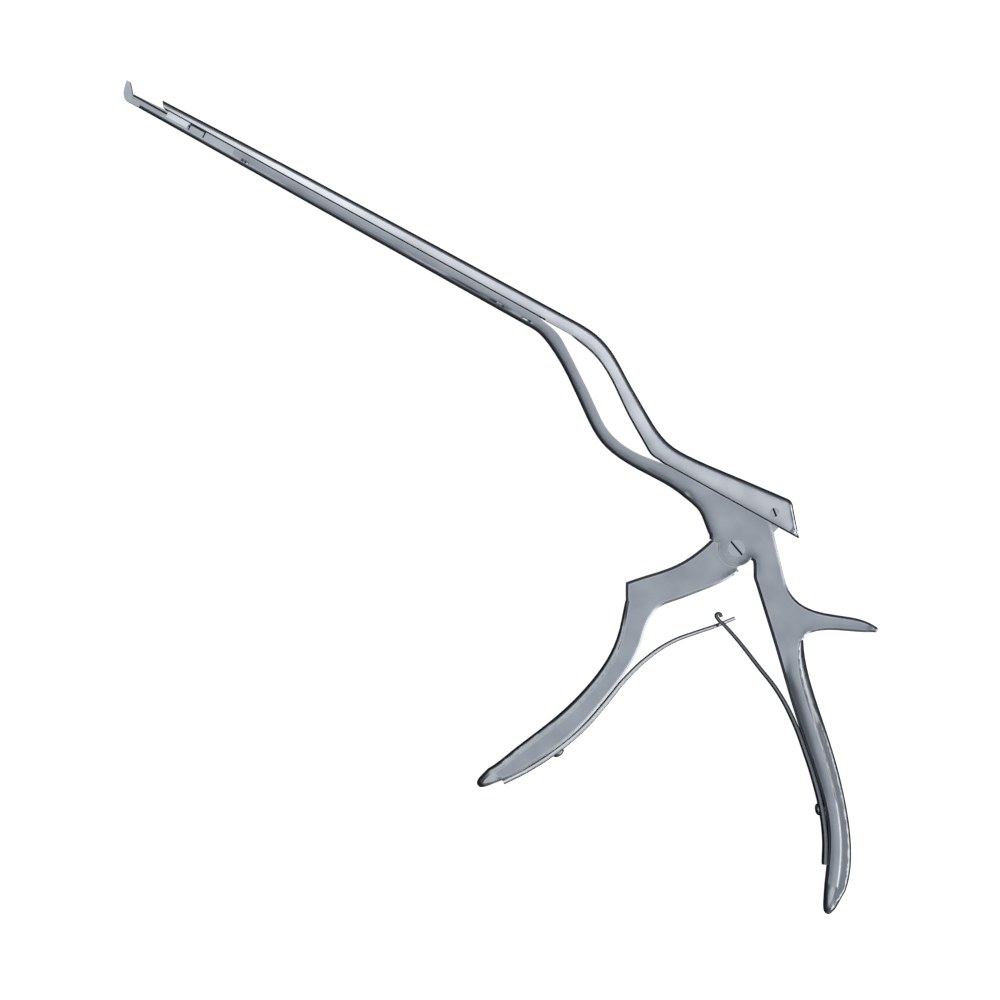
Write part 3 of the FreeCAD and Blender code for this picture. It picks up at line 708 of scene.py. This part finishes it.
# Leaf springs: centre lines from the foot to the free end, in millimetres, as the solids have them
REAR_PATH = [(71.6, -72.4), (67.6, -65.0), (62.4, -57.9), (56.5, -51.5), (49.8, -45.2), (41.8, -38.4),
             (33.0, -32.7), (24.0, -28.8), (14.0, -24.6), (8.5, -22.7), (5.8, -21.95), (4.75, -21.05),
             (5.55, -20.25), (6.35, -20.9)]
FRONT_PATH = [(-28.0, -98.4), (-22.95, -90.9), (-18.2, -81.8), (-14.4, -72.0), (-12.1, -62.0),
              (-10.4, -52.5), (-7.0, -42.0), (-3.0, -34.7), (2.0, -28.8), (6.3, -24.1), (10.3, -19.1)]


def new_shape_tree(name, numbers, places=()):
    """An empty tree that makes a mesh from a curve, and its inputs' sockets."""
    tree = bpy.data.node_groups.new(name, "GeometryNodeTree")
    kinds = [("Geometry", "Geometry"), *[(n, "Float") for n in numbers], *[(p, "Vector") for p in places]]
    for given, kind in kinds + [("Finish", "Material")]:
        tree.interface.new_socket(given, in_out="INPUT", socket_type="NodeSocket" + kind)
    tree.interface.new_socket("Geometry", in_out="OUTPUT", socket_type="NodeSocketGeometry")
    return tree, add_node(tree, "NodeGroupInput").outputs


def end_shape_tree(tree, geometry, finish):
    """Ends the tree in real geometry with its finish."""
    real = add_node(tree, "GeometryNodeRealizeInstances", None, {"Geometry": geometry})
    done = add_node(tree, "GeometryNodeSetMaterial", None, {"Geometry": real.outputs[0], "Material": finish})
    add_node(tree, "NodeGroupOutput", None, {"Geometry": done.outputs[0]})


def cut_out(tree, body, tool):
    """The body without the tool's space."""
    return add_node(tree, "GeometryNodeMeshBoolean", {"operation": "DIFFERENCE"},
                    {"Mesh 1": body, "Mesh 2": tool}).outputs[0]


def combine(tree, **axes):
    """A vector of these values or sockets."""
    return add_node(tree, "ShaderNodeCombineXYZ", None, axes).outputs[0]


def leaf_tree():
    """A leaf that follows a path: it tapers in width and thickness and may end in a narrow tongue."""
    tree, given = new_shape_tree(
        "leaf on a path", ["Foot width", "Tip width", "Foot thickness", "Tip thickness", "Tongue from",
                           "Tongue width", "Window width", "Window length"], ["Window centre"])
    even = add_node(tree, "GeometryNodeResampleCurve", None, {"Curve": given["Geometry"], "Count": 220})
    normal = add_node(tree, "GeometryNodeSetCurveNormal", {"mode": "Z_UP"}, {"Curve": even.outputs[0]})
    factor = add_node(tree, "GeometryNodeSplineParameter").outputs["Factor"]
    spot = add_node(tree, "GeometryNodeInputPosition").outputs[0]
    keep = add_node(tree, "GeometryNodeCaptureAttribute", {"domain": "POINT"})
    keep.capture_items.new("FLOAT", "Along")
    keep.capture_items.new("VECTOR", "Centre")
    for name, source in (("Geometry", normal.outputs[0]), ("Along", factor), ("Centre", spot)):
        tree.links.new(source, keep.inputs[name])
    # A section one unit wide and one thick, with small rounded corners: it gets its real size below
    section = add_node(tree, "GeometryNodeCurvePrimitiveQuadrilateral", None, {"Width": 1.0, "Height": 1.0})
    rounded = add_node(tree, "GeometryNodeFilletCurve", {"mode": "POLY"},
                       {"Curve": section.outputs[0], "Radius": 0.3, "Count": 5})
    swept = add_node(tree, "GeometryNodeCurveToMesh", None,
                     {"Curve": keep.outputs["Geometry"], "Profile Curve": rounded.outputs[0],
                      "Fill Caps": True})
    along, centre = keep.outputs["Along"], keep.outputs["Centre"]
    wide = ramp(tree, along, 0.0, 1.0, given["Foot width"], given["Tip width"])
    thick = ramp(tree, along, 0.25, 1.0, given["Foot thickness"], given["Tip thickness"])
    shoulder = maths(tree, "ADD", given["Tongue from"], 0.012)
    narrow = ramp(tree, along, given["Tongue from"], shoulder, wide, given["Tongue width"])
    vectors = "ShaderNodeVectorMath"
    out = maths(tree, "SUBTRACT", spot, centre, kind=vectors)
    sized = maths(tree, "MULTIPLY", out, combine(tree, X=thick, Y=thick, Z=narrow), kind=vectors)
    moved = maths(tree, "ADD", sized, centre, kind=vectors)
    shaped = add_node(tree, "GeometryNodeSetPosition", None,
                      {"Geometry": swept.outputs[0], "Position": moved})
    hole = combine(tree, X=given["Window length"], Y=given["Window length"], Z=given["Window width"])
    punch = add_node(tree, "GeometryNodeMeshCube", None, {"Size": hole})
    placed = add_node(tree, "GeometryNodeTransform", None,
                      {"Geometry": punch.outputs[0], "Translation": given["Window centre"]})
    end_shape_tree(tree, cut_out(tree, shaped.outputs[0], placed.outputs[0]), given["Finish"])
    return tree


def mesh_from_nodes(base, tree, values, name):
    """The mesh that a tree makes from the base object with these input values. The base object goes."""
    modifier = base.modifiers.new("shape", "NODES")
    modifier.node_group = tree
    sockets = {s.name: s.identifier for s in tree.interface.items_tree if s.in_out == "INPUT"}
    for key, value in values.items():
        modifier[sockets[key]] = value
    graph = bpy.context.evaluated_depsgraph_get()
    mesh = bpy.data.meshes.new_from_object(base.evaluated_get(graph))
    mesh.name = name
    bpy.data.objects.remove(base)
    if not mesh.polygons:
        raise RuntimeError(f"{name}: the node tree made no faces")
    return mesh


def path_object(points):
    """A smooth open curve through the points, given in millimetres, in the middle plane."""
    curve = bpy.data.curves.new("path", "CURVE")
    curve.dimensions = "3D"
    spline = curve.splines.new("BEZIER")
    spline.bezier_points.add(len(points) - 1)
    for knot, (x, y) in zip(spline.bezier_points, points):
        knot.co = (x * MM, y * MM, MID * MM)
        knot.handle_left_type = knot.handle_right_type = "AUTO"
    return new_object("path", curve)


def smooth_by_angle(mesh, degrees):
    """Smooth faces, with the edges over this angle kept sharp."""
    bm = bmesh.new()
    bm.from_mesh(mesh)
    bmesh.ops.recalc_face_normals(bm, faces=bm.faces)
    for face in bm.faces:
        face.smooth = True
    for edge in bm.edges:
        edge.smooth = edge.is_manifold and edge.calc_face_angle(0) < math.radians(degrees)
    bm.to_mesh(mesh)
    bm.free()


class RONGEUR_OT_leaf_springs(bpy.types.Operator):
    """Make the two interlocking leaf springs, as fixed shapes; on the real instrument they bend as the
    handles close
    """
    bl_idname = "rongeur.leaf_springs"
    bl_label = "Leaf springs"

    def execute(self, context):
        tree = leaf_tree()
        common = {"Foot width": 7.0 * MM, "Foot thickness": 1.8 * MM, "Tip thickness": 1.05 * MM,
                  "Window width": 3.6 * MM, "Tongue width": 2.6 * MM, "Finish": material_for("spring_steel")}
        rear = mesh_from_nodes(path_object(REAR_PATH), tree, {
            **common, "Tip width": 5.2 * MM, "Tongue from": 2.0, "Window length": 2.6 * MM,
            "Window centre": (7.9 * MM, -22.5 * MM, MID * MM)}, "rear_leaf")
        # The front leaf has no window: its cutter stays clear of it
        front = mesh_from_nodes(path_object(FRONT_PATH), tree, {
            **common, "Tip width": 5.0 * MM, "Tongue from": 0.925, "Window length": 1.0 * MM,
            "Window centre": (0.0, 0.0, MID * MM)}, "front_leaf")
        # Painted light: the front leaf takes the lighter tone, and the rear leaf's darker spring colour is
        # painted shade
        for mesh, polish_and_light in ((rear, 0.0), (front, 1.0)):
            smooth_by_angle(mesh, 40)
            grades = mesh.attributes.new("polish_and_light", "FLOAT", "POINT")
            grades.data.foreach_set("value", [polish_and_light] * len(mesh.vertices))
        leaf = finish_piece(rear, "rear_leaf", "spring_steel", ["rear_leaf_spring"], None)
        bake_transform(leaf)
        leaf = finish_piece(front, "front_leaf", "spring_steel", ["front_leaf_spring"], None)
        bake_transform(leaf)
        return {"FINISHED"}


def screw_tree():
    """A screw turned from its half section, with a driver slot across its head."""
    tree, given = new_shape_tree("slotted screw", ["Slot width", "Slot depth", "Slot turn"])
    # The tree works in millimetres, and its last step brings the screw to metres
    ring = add_node(tree, "GeometryNodeCurvePrimitiveCircle", None, {"Resolution": 48, "Radius": 0.0005})
    turned = add_node(tree, "GeometryNodeCurveToMesh", None,
                      {"Curve": ring.outputs[0], "Profile Curve": given["Geometry"], "Fill Caps": False})
    merged = add_node(tree, "GeometryNodeMergeByDistance", None,
                      {"Geometry": turned.outputs[0], "Distance": 0.002})
    outward = add_node(tree, "GeometryNodeFlipFaces", None, {"Mesh": merged.outputs[0]})
    twice = maths(tree, "MULTIPLY", given["Slot depth"], 2.0)
    mill = add_node(tree, "GeometryNodeMeshCube", None,
                    {"Size": combine(tree, X=12.0, Y=given["Slot width"], Z=twice)})
    # Faces of the slot are marked, and painted shade makes them dark
    spot = add_node(tree, "GeometryNodeInputPosition").outputs[0]
    axes = add_node(tree, "ShaderNodeSeparateXYZ", None, {0: spot}).outputs
    half = maths(tree, "MULTIPLY_ADD", given["Slot width"], 0.5, 0.01)
    within = maths(tree, "LESS_THAN", maths(tree, "ABSOLUTE", axes["Y"]), half)
    floor = maths(tree, "MULTIPLY_ADD", given["Slot depth"], -1.0, -0.02)
    high = maths(tree, "MULTIPLY", maths(tree, "LESS_THAN", axes["Z"], -0.02),
                 maths(tree, "GREATER_THAN", axes["Z"], floor))
    marked = add_node(tree, "GeometryNodeStoreNamedAttribute", {"data_type": "FLOAT", "domain": "FACE"},
                      {"Geometry": cut_out(tree, outward.outputs[0], mill.outputs[0]), "Name": "slot_shade",
                       "Value": maths(tree, "MULTIPLY", within, high)})
    small = add_node(tree, "GeometryNodeTransform", None,
                     {"Geometry": marked.outputs[0], "Scale": (MM, MM, MM),
                      "Rotation": combine(tree, Z=given["Slot turn"])})
    end_shape_tree(tree, small.outputs[0], given["Finish"])
    return tree


def section_object(points):
    """A half section as a curve, in millimetres: distances from the axis and heights from the top."""
    curve = bpy.data.curves.new("section", "CURVE")
    curve.dimensions = "3D"
    spline = curve.splines.new("POLY")
    spline.points.add(len(points) - 1)
    for knot, (away, height) in zip(spline.points, points):
        knot.co = (away, -height, 0, 1)
    return new_object("section", curve)


def flush_section(head, head_deep, shank):
    """A flat-headed screw with a softened rim and a plain shank, through the instrument's thickness."""
    soft, long = 0.05, THICK - 0.3
    head -= 0.01                # clear of its hole
    return [(0, 0), (head - soft, 0), (head, -soft), (head, -head_deep), (shank, -head_deep),
            (shank, -long + soft), (shank - soft, -long), (0, -long)]


def round_section(head, high, shank, long):
    """A low round head on a plain shank."""
    turns = [math.radians(degrees) for degrees in range(0, 91, 10)]
    dome = [(head * math.sin(turn), high * (math.cos(turn) - 1) * 0.8) for turn in turns]
    return dome + [(head, -high), (shank, -high), (shank, -high - long), (0, -high - long)]


class RONGEUR_OT_screws(bpy.types.Operator):
    """Make the pivot screw, the link screw and the two spring screws"""
    bl_idname = "rongeur.screws"
    bl_label = "Screws"

    def execute(self, context):
        tree = screw_tree()
        finish = material_for("screw_steel")

        def screw(name, section, turn, place, node, body):
            mesh = mesh_from_nodes(section_object(section), tree, {
                "Slot width": 0.6, "Slot depth": 0.6, "Slot turn": math.radians(turn),
                "Finish": finish}, name)
            smooth_by_angle(mesh, 30)
            mesh.transform(place)
            finish_piece(mesh, name, "screw_steel", [node], body)

        screw("pivot_screw_head", flush_section(2.75, 1.5, 1.75), -21.0,
              Matrix.Translation((0, 0, THICK * MM)), "pivot_screw", "base")
        screw("link_screw_head", flush_section(1.4, 1.0, 1.1), -39.0,
              Matrix.Translation((5.0 * MM, 15.4 * MM, THICK * MM)), "link_screw", "slider")
        half_leaf, sunk, high = 0.9, 0.15, 1.3
        for name, leaf, outward, node, body in (
                ("rear_leaf_screw", REAR_PATH, -1, "rear_spring_screw", "base"),
                ("front_leaf_screw", FRONT_PATH, 1, "front_spring_screw", "handle")):
            run = Vector(leaf[3]) - Vector(leaf[1])
            normal = Vector((run.y, -run.x, 0)).normalized() * outward
            seat = Vector((*leaf[2], MID)) + normal * (half_leaf - sunk + high)
            turn = Vector((0, 0, 1)).rotation_difference(normal).to_matrix().to_4x4()
            screw(name, round_section(1.9, high, 0.9, 4.0), 20.0,
                  Matrix.Translation(seat * MM) @ turn, node, body)
        return {"FINISHED"}


def area_lamp(name, place, target, size, power):
    """A rectangular soft white lamp aimed at a point."""
    lamp = bpy.data.lights.new(name, "AREA")
    lamp.shape = "RECTANGLE"
    lamp.size, lamp.size_y = size
    lamp.energy = power
    holder = new_object(name, lamp)
    holder.location = place
    holder.rotation_euler = (Vector(target) - Vector(place)).to_track_quat("-Z", "Y").to_euler()


VIEW_CENTRE = (-71.2, -22.45)             # where the picture's centre falls, in millimetres
FLOOR_HALF, FLOOR_GAP = 2.5, 0.05 * MM    # half the paper's side, and how far it lies under the instrument
# The lamps, in metres: to the picture's right, up and over the paper. Then the key lamp's aim and size
KEY_PLACE, KEY_AIM, KEY_SIZE = (0.95, -0.35, 0.3), 0.1, (1.4, 0.54)
TOP_HIGH, TOP_SIZE = 2.3, (1.8, 1.8)


class RONGEUR_OT_stage(bpy.types.Operator):
    """Set the pale floor, the lamps, the surroundings and the camera"""
    bl_idname = "rongeur.stage"
    bl_label = "Stage"

    def execute(self, context):
        scene = context.scene
        stage = scene.rongeur_stage
        centre = Vector((VIEW_CENTRE[0] * MM, VIEW_CENTRE[1] * MM, 0))
        right = Vector((math.cos(stage.roll), math.sin(stage.roll), 0))
        up = Vector((-math.sin(stage.roll), math.cos(stage.roll), 0))

        mesh = bpy.data.meshes.new("floor")
        corners = [(x * FLOOR_HALF, y * FLOOR_HALF, 0) for x, y in ((-1, -1), (1, -1), (1, 1), (-1, 1))]
        mesh.from_pydata(corners, [], [(0, 1, 2, 3)])
        mesh.transform(Matrix.Translation(centre - Vector((0, 0, FLOOR_GAP))))
        floor = new_object("floor", mesh)
        mesh.materials.append(self.paper())

        key_place = centre + right * KEY_PLACE[0] + up * KEY_PLACE[1] + Vector((0, 0, KEY_PLACE[2]))
        area_lamp("key", key_place, centre + right * KEY_AIM, KEY_SIZE, stage.key)
        area_lamp("top", centre + Vector((0, 0, TOP_HIGH)), centre, TOP_SIZE, stage.top)
        scene.world = self.room((right - up).normalized())

        camera = new_object("camera", bpy.data.cameras.new("camera"))
        camera.data.lens = stage.lens
        camera.data.clip_end = 20.0
        distance = stage.lens * stage.view_width / camera.data.sensor_width
        turn = Matrix((right, up, Vector((0, 0, 1)))).transposed().to_4x4()
        camera.matrix_world = Matrix.Translation(centre + Vector((0, 0, distance + 5 * MM))) @ turn
        scene.camera = camera
        scene.view_settings.view_transform = "Standard"
        return {"FINISHED"}

    def room(self, wall):
        """The room: grey overhead, and darker towards the floor, so that steep faces turn dark."""
        world = bpy.data.worlds.new("studio")
        world.use_nodes = True
        tree = world.node_tree
        tree.nodes.clear()
        way = add_node(tree, "ShaderNodeTexCoord").outputs["Generated"]
        high = add_node(tree, "ShaderNodeSeparateXYZ", None, {0: way}).outputs["Z"]
        room = mix(tree, ramp(tree, high, 0.35, 1.0, kind="SMOOTHSTEP"), linear("30343A"), linear("8C9199"))
        # A pale wall low down on the key lamp's side, which the steel mirrors when seen from elsewhere
        facing = add_node(tree, "ShaderNodeVectorMath", {"operation": "DOT_PRODUCT"}, {0: way, 1: wall})
        broad = ramp(tree, facing.outputs["Value"], 0.5, 0.85, kind="SMOOTHSTEP")
        low = ramp(tree, high, 0.3, 0.5, 0.8, 0.0, kind="SMOOTHSTEP")
        walled = mix(tree, maths(tree, "MULTIPLY", broad, low), room, linear("B4B9C0"))
        # White where the camera looks past the paper
        seen = add_node(tree, "ShaderNodeLightPath").outputs["Is Camera Ray"]
        light = add_node(tree, "ShaderNodeBackground", None,
                         {"Color": mix(tree, seen, walled, (1, 1, 1)), "Strength": 1.0})
        add_node(tree, "ShaderNodeOutputWorld", None, {"Surface": light.outputs[0]})
        return world

    def paper(self):
        """Matt white paper: to the eye it is plain white, with only a faint shadow under the instrument."""
        material, tree, place = new_material("matt white paper")
        fibres = bumps(tree, noise(tree, place, 0.5 * MM), 0.05, 0.05 * MM)
        # White to the camera, with a faint shadow; dim to the steel, so that its edges stay dark against it
        seen = add_node(tree, "ShaderNodeLightPath").outputs["Is Camera Ray"]
        tone = mix(tree, seen, linear("3C4046"), (0.9, 0.9, 0.9))
        lit = add_node(tree, "ShaderNodeBsdfDiffuse", None, {"Color": tone, "Normal": fibres})
        glow = add_node(tree, "ShaderNodeEmission", None,
                        {"Color": (1, 1, 1, 1), "Strength": maths(tree, "MULTIPLY", seen, 0.93)})
        white = add_node(tree, "ShaderNodeAddShader", None, {0: lit.outputs[0], 1: glow.outputs[0]})
        add_node(tree, "ShaderNodeOutputMaterial", None, {"Surface": white.outputs[0]})
        return material


class RONGEUR_PT_panel(bpy.types.Panel):
    """The rongeur's pieces and settings"""
    bl_idname = "RONGEUR_PT_panel"
    bl_label = "Bone rongeur"
    bl_space_type = "VIEW_3D"
    bl_region_type = "UI"
    bl_category = "Rongeur"

    def draw(self, context):
        for operator in OPERATORS:
            self.layout.operator(operator.bl_idname)
        for name in SETTINGS:
            group = getattr(context.scene, name)
            for prop in group.bl_rna.properties:
                if prop.identifier not in ("rna_type", "name"):
                    self.layout.prop(group, prop.identifier)


OPERATORS = [RONGEUR_OT_forgings, RONGEUR_OT_leaf_springs, RONGEUR_OT_screws, RONGEUR_OT_stage]
SETTINGS = {"rongeur_steel": RongeurSteel, "rongeur_form": RongeurForm, "rongeur_stage": RongeurStage}


def register():
    for group in SETTINGS.values():
        bpy.utils.register_class(group)
    for name, group in SETTINGS.items():
        setattr(bpy.types.Scene, name, PointerProperty(type=group))
    for item in OPERATORS + [RONGEUR_PT_panel]:
        bpy.utils.register_class(item)


def unregister():
    for item in reversed(OPERATORS + [RONGEUR_PT_panel]):
        bpy.utils.unregister_class(item)
    for name, group in SETTINGS.items():
        delattr(bpy.types.Scene, name)
        bpy.utils.unregister_class(group)


def main():
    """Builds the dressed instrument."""
    register()
    bpy.ops.rongeur.forgings()
    bpy.ops.rongeur.leaf_springs()
    bpy.ops.rongeur.screws()
    bpy.ops.rongeur.stage()


if __name__ == "__main__":
    main()
